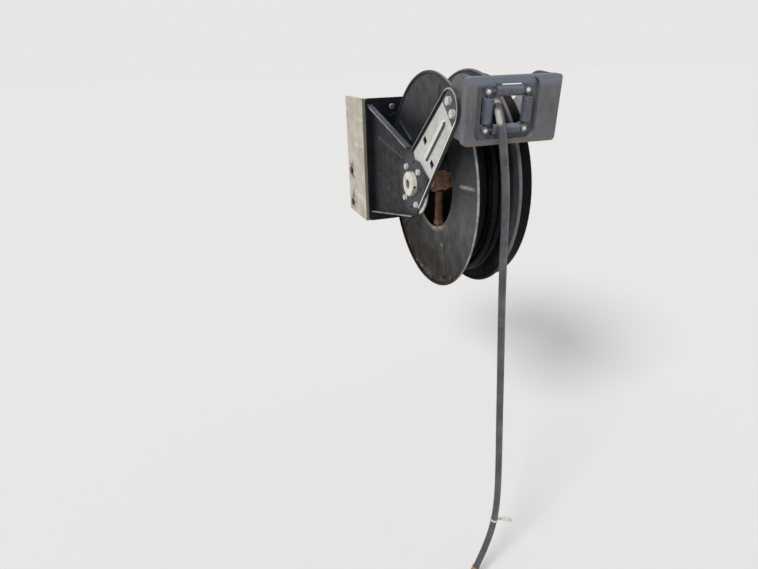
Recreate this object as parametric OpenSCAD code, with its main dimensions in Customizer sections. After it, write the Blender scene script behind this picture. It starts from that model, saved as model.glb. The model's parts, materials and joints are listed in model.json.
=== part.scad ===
// Spring-rewind hose reel for a machine's rear platform, with a four-roller hose outlet.
// Millimetres, +Z up. The reel's axle lies along X and the outlet faces -Y.
// The origin is the middle of the two slots in the side flange, on its face that bolts to the machine.

/* [Drum] */
// Outside diameter of the side discs
disc_d = 480; // [440:1:520]
// Distance between the outer edges of the two discs
rim_gap = 92; // [88:1:100]
// How far each disc leans in from its edge to its centre
dish = 9; // [4:0.5:12]
// Sheet thickness of the discs
disc_t = 2; // [1:0.5:3]
// Diameter of the rolled bead round each disc
bead_d = 7; // [5:0.5:10]
// Diameter of the open eye in the near disc
eye_d = 208; // [170:1:214]
// Outside diameter of the core that the hose is wound on
core_d = 220; // [218:1:240]
// Wall thickness of the core
core_wall = 3; // [2:0.5:5]
// Number of pressed ribs on the near disc
rib_count = 5; // [4:1:12]
// Angle of the first rib from upright, towards the hose outlet
rib_turn = 13; // [-30:1:30]
// Distance from the axle to a rib's inner end
rib_start = 150; // [128:1:170]
// Width of a pressed rib
rib_w = 16; // [10:1:24]
// Height of a pressed rib above the disc
rib_rise = 3; // [1:0.5:5]

/* [Hose] */
// Outside diameter of the hose
hose_d = 15; // [14:0.5:17]
// Distance from one turn to the next, along the axle and outwards
turn_pitch = 17.1; // [17:0.1:17.4]
// Full layers of hose on the core
full_layers = 5; // [2:1:5]
// Length of the crimped ferrule on the hose end
ferrule_l = 32; // [20:1:45]

/* [Axle] */
// Diameter of the fixed axle
axle_d = 25; // [20:1:28]
// Running clearance of the drum's sleeve on the axle, on the radius
sleeve_clear = 0.05; // [0.02:0.01:0.08]
// Outside diameter of the drum's sleeve
sleeve_d = 40; // [38:1:50]
// Outside diameter of the inlet boss
boss_d = 55; // [50:1:64]
// How far the inlet boss stands out
boss_l = 13; // [12:1:30]
// Bore of the inlet port
port_d = 20; // [12:0.5:22]
// Diameter of the bearing flange inside the near arm
flange_d = 140; // [100:1:150]
// Thickness of the bearing flange
flange_t = 5; // [3:0.5:6]
// Size of the swivel across its flats
swivel_af = 40; // [36:1:46]
// Length of the swivel's hexagon
swivel_l = 35; // [25:1:40]
// Outside diameter of the elbow pipe from the swivel to the core
elbow_d = 18; // [14:1:24]

/* [Spring case] */
// Outside diameter of the spring case
case_d = 461; // [360:1:465]
// Gap between the spring case and the outlet box's cheek
case_gap = 0.9; // [0.5:0.1:6]

/* [Side frames] */
// Distance between the inner faces of the two arms
arm_gap = 162; // [160:1:180]
// Sheet thickness of the arms
arm_t = 3; // [2:0.5:5]
// Radius of the arm's end at the hub
arm_hub_r = 62; // [56:1:70]
// Radius of the arm's end at the hose outlet
arm_end_r = 38; // [32:1:44]
// Distance from the axle to the middle of the arm's end
arm_reach = 256; // [250:1:275]
// Angle of the arm above level
arm_tilt = 43; // [40:1:50]
// Width of the two square holes in each arm
arm_hole = 15; // [8:1:18]
// Width of the flange round the arm
arm_flange = 5; // [3:1:12]
// Sheet thickness of the wings
wing_t = 3; // [2:0.5:5]
// Width of the flanges along the wing's edges
wing_flange = 12; // [8:1:16]
// Clearance between parts that are fitted into each other
fit_clear = 0.1; // [0.05:0.05:0.3]

/* [Base] */
// Distance from the axle to the front of the base plate
stand_off = 296; // [290:1:330]
// Width of the base plate
base_w = 204; // [200:1:240]
// Height of the base plate
base_h = 330; // [310:1:360]
// Thickness of the base plate
base_t = 4; // [3:0.5:8]
// Corner radius of the base plate
base_r = 10; // [4:1:20]
// Thickness of the mounting angle
angle_t = 6; // [4:0.5:10]
// Depth of the mounting angle's side flange
angle_depth = 165; // [150:1:200]
// Distance between the two mounting slots
slot_pitch = 94; // [60:1:140]
// Width of a mounting slot
slot_w = 13; // [9:0.5:17]
// Length of a mounting slot, end to end
slot_l = 34; // [24:1:50]

/* [Outlet box] */
// Width of the outlet box
box_w = 187; // [180:1:210]
// Height of the outlet box
box_h = 117; // [110:1:130]
// Depth of the box's rim
box_rim = 16; // [10:1:24]
// Wall thickness of the box
box_t = 3; // [2:0.5:4]
// Corner radius of the box
box_r = 7; // [4:1:12]
// How far the box's face tips down
box_tip = 6; // [0:1:8]
// Depth of the side cheeks that hold the box between the arms
cheek_l = 99; // [90:1:104]
// Diameter of the four rollers
roller_d = 19; // [14:0.5:19.5]
// Length of the upper and lower rollers
wide_roller_l = 53; // [50:1:60]
// Length of the left and right rollers
tall_roller_l = 43; // [34:1:46]
// Diameter of the roller pins
pin_d = 6; // [4:0.5:8]
// Running clearance of a roller on its pin, on the radius
pin_clear = 0.05; // [0.02:0.01:0.08]
// Diameter of the corner posts that hold the pins
post_d = 13; // [11:0.5:14]

/* [Hidden] */
$fn = 64;

// Side frames: distances from the middle of the drum outwards
arm_in = arm_gap / 2;
arm_out = arm_in + arm_t;
wing_out = arm_out + wing_t;
cheek_in = arm_in - box_t;
arm_end = [-arm_reach * cos(arm_tilt), arm_reach * sin(arm_tilt)];

// Drum: radii, and distances from its middle outwards
disc_r = disc_d / 2;
rim_x = rim_gap / 2;
flat_r = core_d / 2 + 3;
hub_face_x = rim_x - dish;
hub_inner_x = hub_face_x - disc_t;
cone_r = disc_r - bead_d / 2;
case_r = case_d / 2;
seat_gap = 0.3;
// Where the disc's outer face lies at a given radius
function disc_x(r) = hub_face_x + dish * (r - flat_r) / (cone_r - flat_r);
// The case lies against the disc, or against the bead where it reaches that far out
case_x = (case_r > disc_r - bead_d ? rim_x + bead_d / 2 : disc_x(case_r)) + seat_gap;
case_back = cheek_in - case_gap;
sleeve_end = case_back + 1;

// Wound hose: four lanes, of which the second is empty in the top layer
lane_count = 4;
pack_r = core_d / 2 + seat_gap + full_layers * turn_pitch;
free_lane = 1;

// Mounting: the hub's place as seen from the middle of the two slots, on the flange's inner face
angle_x = -(base_w / 2 + 8);
slot_back = stand_off + base_t + angle_t + 114;
slot_low = 83;
hub_at = [-angle_x - angle_t, -slot_back, slot_low];
base_mid_z = 5;

// Outlet box: its face's middle as seen from the middle of the arm's end
box_ahead = 81;
box_below = 2;
box_at = [0, arm_end[0] - box_ahead, arm_end[1] - box_below];

// Roller window: places on the box's face
tray_left = -74;
tray_right = 49;
tray_low = -50;
tray_high = 55;
tray_floor = 11.5;
tray_r = 14;
post_left = -50.2;
post_right = 28.3;
post_z = 33.5;
post_front = 3;
roller_y = 8;
roller_gap = 1.5;
// How far each roller sits to the right of its posts
roller_shift = 3;

// Free hose: its middle line as seen from the hub, from the drum down to its end fitting
hose_route = [
  [-8.5, 56, 197.5], [-8.5, 28, 203.5], [-8.5, 0, 205.5], [-8.5, -40, 207], [-9.5, -80, 208.5],
  [-12, -120, 210], [-15, -158, 211.5], [-20.5, -197, 212.5], [-25.5, -238.5, 202.5], [-27.5, -268.5, 172],
  [-24.5, -278.5, 131], [-17, -275.5, 88], [-10.5, -275, 40], [-8, -275, -20], [-8, -275, -90],
  [-6, -275, -170], [-3, -275, -260], [1, -275, -350], [4, -275, -440], [7.5, -275, -530],
  [11, -275, -620], [12.5, -275, -700], [9, -275, -762], [-2, -275, -815], [-18, -275, -862], [-36, -275, -905]
];
hose_sides = 10;

// Moves what is drawn round the hub to its place over the origin
module at_hub() translate(hub_at) children();

// Draws a right-hand frame piece on the far side, or its mirror image on the near side
module on_side(near) mirror([near ? 1 : 0, 0, 0]) children();

// Extrudes a side view, drawn as (Y, Z), along X between two distances
module across(x0, x1) translate([x0, 0, 0]) rotate([90, 0, 90]) linear_extrude(x1 - x0) children();

// Extrudes a front view, drawn as (X, Z), along Y between two depths
module into(y0, y1) translate([0, y1, 0]) rotate([90, 0, 0]) linear_extrude(y1 - y0) children();

// Turns a profile, drawn as (radius, X), about the axle
module about_axle() rotate([0, 90, 0]) rotate_extrude() children();

// A cylinder along X between two distances
module rod_x(x0, x1, r) translate([x0, 0, 0]) rotate([0, 90, 0]) cylinder(h = x1 - x0, r = r);

// Rectangle with round corners, from one corner to the other
module round_rect(low, high, r) {
  translate([low[0] + r, low[1]]) square([high[0] - low[0] - 2 * r, high[1] - low[1]]);
  translate([low[0], low[1] + r]) square([high[0] - low[0], high[1] - low[1] - 2 * r]);
  for (x = [low[0] + r, high[0] - r], y = [low[1] + r, high[1] - r]) translate([x, y]) circle(r);
}

// Outline of a tapered arm with a round end of its own radius at each end
module link_outline(end, r0, r1) hull() {
  circle(r0, $fn = 48);
  translate(end) circle(r1, $fn = 48);
}

// Side frames

// Wing's corners at the hub, and where its edges meet the base plate
wing_top = [10, 80];
wing_low = [-20, -72];
wing_back_top = [stand_off, base_mid_z + base_h / 2 - 15];
wing_back_low = [stand_off, base_mid_z - base_h / 2 + 26];

module wing_outline() polygon([
  wing_back_top, wing_top, [-8, 56], [-37, 54], [-92, 25], [-34, -46], wing_low, wing_back_low
]);

// Flange along one edge of the wing, from one corner to another, on the wing's own side
module edge_flange(from, to, inward) {
  run = to - from;
  dir = run / norm(run);
  side = inward * [-dir[1], dir[0]];
  across(wing_out, wing_out + wing_flange)
    polygon([from, to, [to[0], to[1] + inward * wing_t / dir[0]], from + side * wing_t]);
}

module wing(near) on_side(near) color("dimgray") {
  difference() {
    union() {
      across(arm_out, wing_out) wing_outline();
      edge_flange(wing_top, wing_back_top, -1);
      edge_flange(wing_low, wing_back_low, 1);
      translate([wing_out, stand_off - wing_t, wing_back_low[1]])
        cube([base_w / 2 - wing_out, wing_t, wing_back_top[1] - wing_back_low[1]]);
      wing_bead();
    }
    rod_x(arm_out - 1, wing_out + 1, axle_d / 2 + fit_clear);
  }
}

// Raised bead pressed along the middle of the wing
module wing_bead() pressed_bead(wing_out, [61, 44], [235, 72], 8, 3);

// Bead with sloped sides pressed out of a sheet's outer face, between two points given as (Y, Z)
module pressed_bead(face, from, to, r, rise) hull() {
  across(face - 1, face) round_bar(from, to, r);
  across(face - 1, face + rise) round_bar(from, to, r - rise);
}

// Round-ended bar between two points
module round_bar(from, to, r) hull() for (p = [from, to]) translate(p) circle(r, $fn = 24);

module arm(near) on_side(near) color("silver") {
  difference() {
    union() {
      across(arm_in, arm_out) link_outline(arm_end, arm_hub_r, arm_end_r);
      arm_edge();
      arm_bead();
    }
    rod_x(arm_in - 1, arm_out + 1, axle_d / 2 + fit_clear);
    arm_holes();
  }
}

// Flange round the arm, left out where the wing lies over the arm's root
module arm_edge() difference() {
  across(arm_out, arm_out + arm_flange) link_outline(arm_end, arm_hub_r, arm_end_r);
  across(arm_out - 1, arm_out + arm_flange + 1) link_outline(arm_end, arm_hub_r - arm_t, arm_end_r - arm_t);
  across(arm_out - 1, arm_out + arm_flange + 1) polygon([
    wing_top - [wing_t * 3, 0], [-arm_hub_r * 0.58, -arm_hub_r * 0.7], [-arm_hub_r * 0.75, -2 * arm_hub_r],
    [2 * arm_hub_r, -2 * arm_hub_r], [2 * arm_hub_r, 2 * arm_hub_r], wing_top + [-wing_t * 3, arm_hub_r]
  ]);
}

// Pressed bead along the arm, and the square hole on either side of it
arm_dir = arm_end / norm(arm_end);
arm_cross = [-arm_dir[1], arm_dir[0]];
function on_arm(along, aside) = arm_dir * along + arm_cross * aside;

module arm_bead() pressed_bead(arm_out, on_arm(102, 0), on_arm(214, 0), 9, 4);

module arm_holes() {
  for (p = [on_arm(118, -31), on_arm(114, 26)])
    across(arm_in - 1, arm_out + 1) translate(p) rotate(-arm_tilt) square(arm_hole, center = true);
}

// Dark doubler plate in the arm's round end, cut straight across the arm
module ear_plate(near) on_side(near) color("dimgray") {
  ear_t = 2;
  ear_r = arm_end_r - arm_t - fit_clear;
  cut = arm_reach - 16;
  intersection() {
    across(arm_out, arm_out + ear_t) link_outline(arm_end, arm_hub_r - arm_t - fit_clear, ear_r);
    across(arm_out, arm_out + ear_t) polygon([
      on_arm(cut, -arm_hub_r), on_arm(cut + 4, arm_hub_r),
      on_arm(cut + 2 * arm_end_r, arm_hub_r), on_arm(cut + 2 * arm_end_r, -arm_hub_r)
    ]);
  }
}

// Base

module base_plate() color([0.1, 0.1, 0.12]) {
  into(stand_off, stand_off + base_t)
    round_rect([-base_w / 2, base_mid_z - base_h / 2], [base_w / 2, base_mid_z + base_h / 2], base_r);
  plate_bead();
}

// Upright bead pressed out of the base plate's front
module plate_bead() {
  bead_x = -21;
  bead_w = 34;
  bead_top = base_mid_z + base_h / 2 - 40;
  bead_low = base_mid_z - base_h / 2 + 40;
  rise = 3;
  into(stand_off - rise * 0.55, stand_off + 1)
    round_rect([bead_x - bead_w / 2, bead_low], [bead_x + bead_w / 2, bead_top], bead_w / 2 - 2);
  into(stand_off - rise, stand_off + 1)
    round_rect([bead_x - bead_w / 2 + 2, bead_low + 2], [bead_x + bead_w / 2 - 2, bead_top - 2], bead_w / 2 - 4);
}

// Angle behind the base plate, whose side flange has the two slots that bolt to the machine
module mounting_angle() color("lightgray") {
  front = stand_off + base_t;
  low = base_mid_z - base_h / 2;
  difference() {
    union() {
      translate([angle_x, front, low]) cube([base_w / 2 - angle_x - 10, angle_t, base_h]);
      translate([angle_x, front, low]) cube([angle_t, angle_depth, base_h]);
    }
    for (s = [-1, 1]) translate([angle_x, slot_back, s * slot_pitch / 2 - slot_low]) mount_slot();
  }
}

module mount_slot() {
  run = slot_l - slot_w;
  for (s = [-1, 1]) translate([0, 0, s * run / 2]) rod_x(-1, angle_t + 1, slot_w / 2);
  translate([-1, -slot_w / 2, -run / 2]) cube([angle_t + 2, slot_w, run]);
}

// Axle, inlet and bearing

// Fixed axle, bored from the near side as the water way, with a nut on its far end
module axle() color("gray") {
  nut_l = 14;
  difference() {
    rod_x(-wing_out, wing_out + nut_l + 4, axle_d / 2);
    rod_x(-wing_out - 1, -hub_inner_x, port_d / 2 - 3);
  }
  difference() {
    translate([wing_out, 0, 0]) rotate([0, 90, 0]) cylinder(h = nut_l, d = 1.9 * axle_d, $fn = 6);
    rod_x(wing_out - 1, wing_out + nut_l + 1, axle_d / 2 - 0.5);
  }
}

module inlet_boss() color("ivory") mirror([1, 0, 0]) about_axle() {
  edge = 2;
  recess_r = port_d / 2 + 4;
  face = wing_out + boss_l;
  polygon([
    [port_d / 2, wing_out], [boss_d / 2, wing_out], [boss_d / 2, face - edge],
    [boss_d / 2 - edge, face], [recess_r, face], [recess_r, face - 1], [port_d / 2, face - 1]
  ]);
}

module bearing_flange() color("ivory") mirror([1, 0, 0]) about_axle() polygon([
  [axle_d / 2 + fit_clear, arm_in], [axle_d / 2 + fit_clear, arm_in - flange_t - 12],
  [axle_d / 2 + 8, arm_in - flange_t - 12], [axle_d / 2 + 11, arm_in - flange_t],
  [flange_d / 2 - 3, arm_in - flange_t], [flange_d / 2, arm_in - flange_t + 2], [flange_d / 2, arm_in]
]);

// Drum

// Dished sheet from an inner radius to the rolled bead, drawn for the far side
module disc_sheet(inner_r) {
  about_axle() polygon([
    [inner_r, hub_inner_x], [inner_r, hub_face_x], [flat_r, hub_face_x],
    [cone_r, rim_x], [cone_r, rim_x - disc_t], [flat_r, hub_inner_x]
  ]);
  translate([rim_x, 0, 0]) rotate([0, 90, 0]) rotate_extrude() translate([cone_r, 0]) circle(bead_d / 2);
}

// Pressed ribs that stand out of the disc's outer face
module disc_ribs() {
  rib_r = (rib_w * rib_w / 4 + rib_rise * rib_rise) / (2 * rib_rise);
  from = rib_start;
  to = cone_r - rib_r - 4;
  slope = atan2(dish, cone_r - flat_r);
  difference() {
    for (k = [0:rib_count - 1]) rotate([rib_turn + k * 360 / rib_count, 0, 0])
      translate([disc_x(from) + rib_rise - rib_r, 0, from]) rotate([0, slope, 0]) {
        cylinder(h = (to - from) / cos(slope), r = rib_r);
        sphere(rib_r);
        translate([0, 0, (to - from) / cos(slope)]) sphere(rib_r);
      }
    about_axle() polygon([
      [1, hub_inner_x - 3 * rib_r], [1, hub_face_x - disc_t / 2], [flat_r, hub_face_x - disc_t / 2],
      [cone_r, rim_x - disc_t / 2], [cone_r, hub_inner_x - 3 * rib_r]
    ]);
  }
}

module disc_near() color("gray") mirror([1, 0, 0]) {
  disc_sheet(eye_d / 2);
  disc_ribs();
}

module disc_far() color("gray") disc_sheet(sleeve_d / 2 + fit_clear);

module drum_core() color("gray") difference() {
  rod_x(-hub_inner_x, hub_inner_x, core_d / 2);
  rod_x(-hub_inner_x - 1, hub_inner_x + 1, core_d / 2 - core_wall);
}

sleeve_start = 14;

module drum_sleeve() color("gray") difference() {
  rod_x(sleeve_start, sleeve_end, sleeve_d / 2);
  rod_x(sleeve_start - 1, sleeve_end + 1, axle_d / 2 + sleeve_clear);
}

// Drum-shaped case of the rewind spring, with a dished outer face
module spring_case() color([0.08, 0.08, 0.08]) about_axle() {
  corner = 4;
  back = case_back;
  polygon([
    [sleeve_d / 2 + fit_clear, case_x], [case_r, case_x], [case_r, back - corner],
    [case_r - corner * 0.3, back - corner * 0.3], [case_r - corner, back],
    [case_r * 0.6, back], [case_r * 0.55, back - 4], [sleeve_d / 2 + fit_clear, back - 4]
  ]);
}

// Swivel joint that turns with the drum and feeds the hose through the core
module swivel_body() color("sienna") difference() {
  translate([sleeve_start - 18 - swivel_l, 0, 0]) rotate([0, 90, 0])
    cylinder(h = swivel_l, d = swivel_af / cos(30), $fn = 6);
  rod_x(sleeve_start - 19 - swivel_l, sleeve_start - 17, axle_d / 2 + sleeve_clear);
}

module swivel_collar() color("sienna") difference() {
  rod_x(sleeve_start - 18, sleeve_start, swivel_af / 2 - 3);
  rod_x(sleeve_start - 19, sleeve_start + 1, axle_d / 2 + sleeve_clear);
}

module swivel_elbow() color("sienna") {
  wall_in = core_d / 2 - core_wall;
  foot = sqrt(wall_in * wall_in - elbow_d * elbow_d / 4) - seat_gap;
  x = sleeve_start - 18 - swivel_l / 2;
  translate([x, 0, -foot]) cylinder(h = foot - swivel_af / 2 * 1.155 - seat_gap, r = elbow_d / 2);
  translate([x, 0, -foot + 6]) cylinder(h = 12, d = elbow_d + 6, $fn = 6);
}

// Hose wound on the core: full layers, and one more layer with an empty lane
module wound_hose() color([0.12, 0.12, 0.12]) about_axle() {
  half = lane_count / 2 * turn_pitch;
  bump = [[-0.47, -2.5], [-0.3, -0.7], [0, 0], [0.3, -0.7], [0.47, -2.5]];
  inner = core_d / 2 + seat_gap;
  polygon(concat(
    [[inner, -half + 1]],
    [for (k = [0:lane_count - 1], b = bump)
      [pack_r + (k == free_lane ? 0 : turn_pitch) + (k == free_lane ? 0 : b[1]),
       (k - lane_count / 2 + 0.5 + (k == free_lane ? 1.1 * b[0] : b[0])) * turn_pitch]],
    [[inner, half - 1]]
  ));
}

// Outlet box and rollers

module at_box() translate(box_at) rotate([box_tip, 0, 0]) children();

module outlet_box() at_box() color([0.33, 0.33, 0.35]) {
  difference() {
    into(0, box_rim) round_rect([-box_w / 2, -box_h / 2], [box_w / 2, box_h / 2], box_r);
    into(box_t, box_rim + 1) round_rect(
      [-box_w / 2 + box_t, -box_h / 2 + box_t], [box_w / 2 - box_t, box_h / 2 - box_t], box_r - box_t);
    into(-1, box_t + 1) round_rect([tray_left, tray_low], [tray_right, tray_high], tray_r);
  }
  tray();
  for (s = [0, 1]) mirror([s, 0, 0]) cheek();
}

// Shallow tray that holds the rollers, open round them so that its corners carry the posts
module tray() difference() {
  into(0, tray_floor + box_t) round_rect(
    [tray_left - box_t, tray_low - box_t], [tray_right + box_t, tray_high + box_t], tray_r + box_t);
  into(-1, tray_floor) round_rect([tray_left, tray_low], [tray_right, tray_high], tray_r);
  into(tray_floor - 1, tray_floor + box_t + 1) roller_opening();
}

// Cross of two openings, one along the upper and lower rollers and one along the left and right ones
module roller_opening() {
  reach = roller_d / 2 + roller_gap;
  wide = wide_roller_l / 2 + roller_gap;
  tall = tall_roller_l / 2 + roller_gap;
  translate([wide_mid - wide, -post_z - reach]) square([2 * wide, 2 * (post_z + reach)]);
  translate([pin_left - reach, -tall]) square([pin_right - pin_left + 2 * reach, 2 * tall]);
}

// Side cheek between the box's face and the arm, rounded at its back and deeper at its top
module cheek() {
  top = box_h / 2;
  low = -box_h / 2 + 2;
  top_r = 50;
  low_r = 14;
  across(cheek_in, arm_in) hull() {
    translate([1, low]) square([1, top - low]);
    translate([cheek_l - top_r, top - top_r]) circle(top_r);
    translate([cheek_l - low_r - 15, low + low_r]) circle(low_r);
  }
}

// Four corner posts on the tray's floor and the four pins between them
module roller_cage() at_box() color("silver") {
  for (x = [post_left, post_right], z = [-post_z, post_z])
    translate([x, post_front, z]) rotate([-90, 0, 0]) cylinder(h = tray_floor - post_front, d = post_d);
  for (z = [-post_z, post_z])
    translate([post_left, roller_y, z]) rod_x(0, post_right - post_left, pin_d / 2);
  for (x = [pin_left, pin_right])
    translate([x, roller_y, -post_z]) cylinder(h = 2 * post_z, d = pin_d);
}

// Roller along Z with a bored middle and small end chamfers
module roller(length) color([0.35, 0.37, 0.42]) rotate_extrude() {
  r = roller_d / 2;
  bore = pin_d / 2 + pin_clear;
  edge = 1;
  polygon([
    [bore, -length / 2], [r - edge, -length / 2], [r, -length / 2 + edge],
    [r, length / 2 - edge], [r - edge, length / 2], [bore, length / 2]
  ]);
}

pin_left = post_left + roller_shift;
pin_right = post_right + roller_shift;
wide_mid = (post_left + post_right) / 2 + roller_shift;

module wide_roller(z) at_box() translate([wide_mid, roller_y, z]) rotate([0, 90, 0]) roller(wide_roller_l);
module tall_roller(x) at_box() translate([x, roller_y, 0]) roller(tall_roller_l);

// Free hose

// Smooth curve that the route's points pull towards them, and its two ends carried straight on
function blend(a, b, c, d, t) =
  (a * pow(1 - t, 3) + b * (3 * t * t * t - 6 * t * t + 4)
    + c * (-3 * t * t * t + 3 * t * t + 3 * t + 1) + d * t * t * t) / 6;
route_last = len(hose_route) - 1;
route_ends = concat([2 * hose_route[0] - hose_route[1]], hose_route,
  [2 * hose_route[route_last] - hose_route[route_last - 1]]);
rings_per_point = 2;
hose_line = [
  for (k = [0:route_last - 1], s = [0:rings_per_point - 1])
    blend(route_ends[k], route_ends[k + 1], route_ends[k + 2], route_ends[k + 3], s / rings_per_point),
  hose_route[route_last]
];
function line_dir(k) =
  let (d = hose_line[min(len(hose_line) - 1, k + 1)] - hose_line[max(0, k - 1)]) d / norm(d);
function ring(k) =
  let (t = line_dir(k), u = cross(t, [1, 0, 0]), a = u / norm(u), b = cross(t, a))
  [for (s = [0:hose_sides - 1])
    hose_line[k] + hose_d / 2 * (a * cos(s * 360 / hose_sides) + b * sin(s * 360 / hose_sides))];

module free_hose() color([0.3, 0.3, 0.3]) {
  last = len(hose_line) - 1;
  points = [for (k = [0:last], p = ring(k)) p];
  walls = [for (k = [0:last - 1], s = [0:hose_sides - 1])
    let (a = k * hose_sides + s, b = k * hose_sides + (s + 1) % hose_sides)
    [a, b, b + hose_sides, a + hose_sides]];
  start = [for (s = [hose_sides - 1:-1:0]) s];
  finish = [for (s = [0:hose_sides - 1]) last * hose_sides + s];
  polyhedron(points = points, faces = concat([start, finish], walls));
}

// Crimped ferrule with a hexagon and a threaded spigot, in line with the hose's end
module hose_fitting() color("darkgoldenrod") {
  end = hose_route[len(hose_route) - 1];
  dir = line_dir(len(hose_line) - 1);
  translate(end) rotate([0, acos(dir[2]), atan2(dir[1], dir[0])]) {
    cylinder(h = ferrule_l, d = hose_d + 3);
    translate([0, 0, ferrule_l]) cylinder(h = 10, d = hose_d + 7, $fn = 6);
    difference() {
      translate([0, 0, ferrule_l + 10]) cylinder(h = 14, d = hose_d - 0.5);
      translate([0, 0, ferrule_l + 4]) cylinder(h = 21, d = hose_d * 0.5);
    }
  }
}

at_hub() mounting_angle();
at_hub() base_plate();
at_hub() wing(true);  // wing_near
at_hub() wing(false);  // wing_far
at_hub() arm(true);  // arm_near
at_hub() arm(false);  // arm_far
at_hub() ear_plate(true);  // ear_plate_near
at_hub() ear_plate(false);  // ear_plate_far
at_hub() axle();
at_hub() inlet_boss();
at_hub() bearing_flange();
at_hub() disc_near();
at_hub() disc_far();
at_hub() drum_core();
at_hub() drum_sleeve();
at_hub() spring_case();
at_hub() swivel_body();
at_hub() swivel_collar();
at_hub() swivel_elbow();
at_hub() wound_hose();
at_hub() outlet_box();
at_hub() roller_cage();
at_hub() wide_roller(post_z);  // roller_top
at_hub() wide_roller(-post_z);  // roller_bottom
at_hub() tall_roller(pin_left);  // roller_left
at_hub() tall_roller(pin_right);  // roller_right
at_hub() free_hose();
at_hub() hose_fitting();
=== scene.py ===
"""Looks of a spring-rewind hose reel: discs, wound hose, hanging hose, fasteners and finishes.

Sizes and places are in millimetres from the middle of the axle, unless a comment says otherwise;
from_hub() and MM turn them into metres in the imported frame. New pieces are grids of points worked
out with numpy, made of closed shells with their place in the mesh.
"""
import json
import math

import bmesh
import bpy
import numpy as np
from mathutils import Matrix, Vector


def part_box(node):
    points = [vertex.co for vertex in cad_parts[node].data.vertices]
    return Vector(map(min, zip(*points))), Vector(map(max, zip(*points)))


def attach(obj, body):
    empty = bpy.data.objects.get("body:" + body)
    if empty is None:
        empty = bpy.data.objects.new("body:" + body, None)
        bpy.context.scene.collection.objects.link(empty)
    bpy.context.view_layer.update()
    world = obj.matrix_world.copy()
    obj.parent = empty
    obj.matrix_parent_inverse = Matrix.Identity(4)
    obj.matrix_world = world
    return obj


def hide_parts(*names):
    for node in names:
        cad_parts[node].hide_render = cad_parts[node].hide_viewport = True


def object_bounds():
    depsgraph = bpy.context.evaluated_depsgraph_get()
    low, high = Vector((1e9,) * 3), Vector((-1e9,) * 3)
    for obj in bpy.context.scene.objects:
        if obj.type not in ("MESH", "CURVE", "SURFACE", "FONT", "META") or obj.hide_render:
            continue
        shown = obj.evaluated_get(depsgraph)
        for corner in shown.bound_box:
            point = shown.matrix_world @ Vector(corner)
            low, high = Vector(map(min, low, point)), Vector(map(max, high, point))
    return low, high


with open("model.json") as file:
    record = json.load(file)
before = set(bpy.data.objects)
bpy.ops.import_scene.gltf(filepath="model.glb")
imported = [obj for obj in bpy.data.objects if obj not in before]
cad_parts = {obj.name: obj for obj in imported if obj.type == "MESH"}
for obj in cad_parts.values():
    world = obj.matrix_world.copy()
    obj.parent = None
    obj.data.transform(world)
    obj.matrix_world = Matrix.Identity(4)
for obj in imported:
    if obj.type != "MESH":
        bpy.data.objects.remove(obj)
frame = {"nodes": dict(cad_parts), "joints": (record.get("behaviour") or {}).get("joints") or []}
cad_low, cad_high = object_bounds()

MM = 0.001
HUB = np.array(next(j["pos_m"] for j in frame["joints"] if j["name"] == "drum_spin"))
nodes = frame["nodes"]


def from_hub(points):
    """Points in millimetres from the axle's middle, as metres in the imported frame."""
    return np.asarray(points, float) * MM + HUB


# Directions: X runs along the axle towards the spring case, and the hose leaves towards -Y
UP, DOWN = (0, 0, 1), (0, 0, -1)
FRONT, BACK = (0, -1, 0), (0, 1, 0)
NEAR, FAR = (-1, 0, 0), (1, 0, 0)

# Drum: its discs dish inwards from a rolled bead at the rim
DISC_R = 240.0
RIM_X = 46.0
DISH = 9.0
SHEET = 2.0
BEAD_R = 3.5
BEAD_TURN = 217
SHEET_END = DISC_R - BEAD_R - 2.8
EYE_R = 104.0
SLEEVE_R = 20.1
FLAT_R = 113.0
CORE_R = 110.0
RIB_COUNT = 5
RIB_TURN = math.radians(13)
RIB_FROM, RIB_TO = 142.0, 226.0
RIB_HALF = 8.0
RIB_RISE = 3.0
RIB_CREST = 0.15
# Each dent: angle from the top in radians, distance from the axle, width and depth
DENTS = ((3.43, 221, 10, 3.4), (3.2, 224, 8, 2.6), (2.9, 226, 12, 1.4), (0.45, 230, 14, 1.6))
# Points of a disc's grid: round the axle, along its outer and its inner face, round its bead
DISC_ROUND, DISC_OUT, DISC_IN, BEAD_ROUND = 288, 56, 40, 23

# Wound hose: lanes across the drum, layers from the core out, and the lane that the hose leaves
HOSE_R = 7.5
PITCH = 17.1
LAYER_STEP = 14.8
LANES = 4
LAYERS = 5
SHOWN_LAYERS = 3
OPEN_LANE = 1
WOUND_R = 204.35
TURN_ROUND, TURN_ACROSS = 144, 14
TURN_SINK = 0.35
WAVE_ASIDE, WAVE_OUT = (0.35, 0.25), 0.2
# The ring under the turns: clear of the core and the discs, and up into the lowest turns
FILL_CORE_GAP, FILL_DISC_GAP, FILL_INTO_TURNS = 0.4, 1.5, 1.2

# Free hose, its end, its tan band and its cable tie
HOSE_ROUTE = np.array([
    (-8.5, 56, 197.5), (-8.5, 28, 203.5), (-8.5, 0, 205.5), (-8.5, -40, 207), (-9.5, -80, 208.5),
    (-12, -120, 210), (-15, -158, 211.5), (-20.5, -197, 212.5), (-25.5, -238.5, 202.5),
    (-27.5, -268.5, 172), (-24.5, -278.5, 131), (-17, -275.5, 88), (-10.5, -275, 40),
    (-8, -275, -20), (-8, -275, -90), (-6, -275, -170), (-3, -275, -260), (1, -275, -350),
    (4, -275, -440), (7.5, -275, -530), (11, -275, -620), (12.5, -275, -700), (9, -275, -762),
    (-2, -275, -815), (-18, -275, -862), (-36, -275, -905),
])
ROUTE_STEPS = 8
FERRULE_L = 32.0
CRIMPS, CRIMP_DEEP, CRIMP_WIDE = np.array([7, 14, 21]), 1.35, 1.7
NUT_L, NUT_FLATS = 10.0, 19.0
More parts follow.
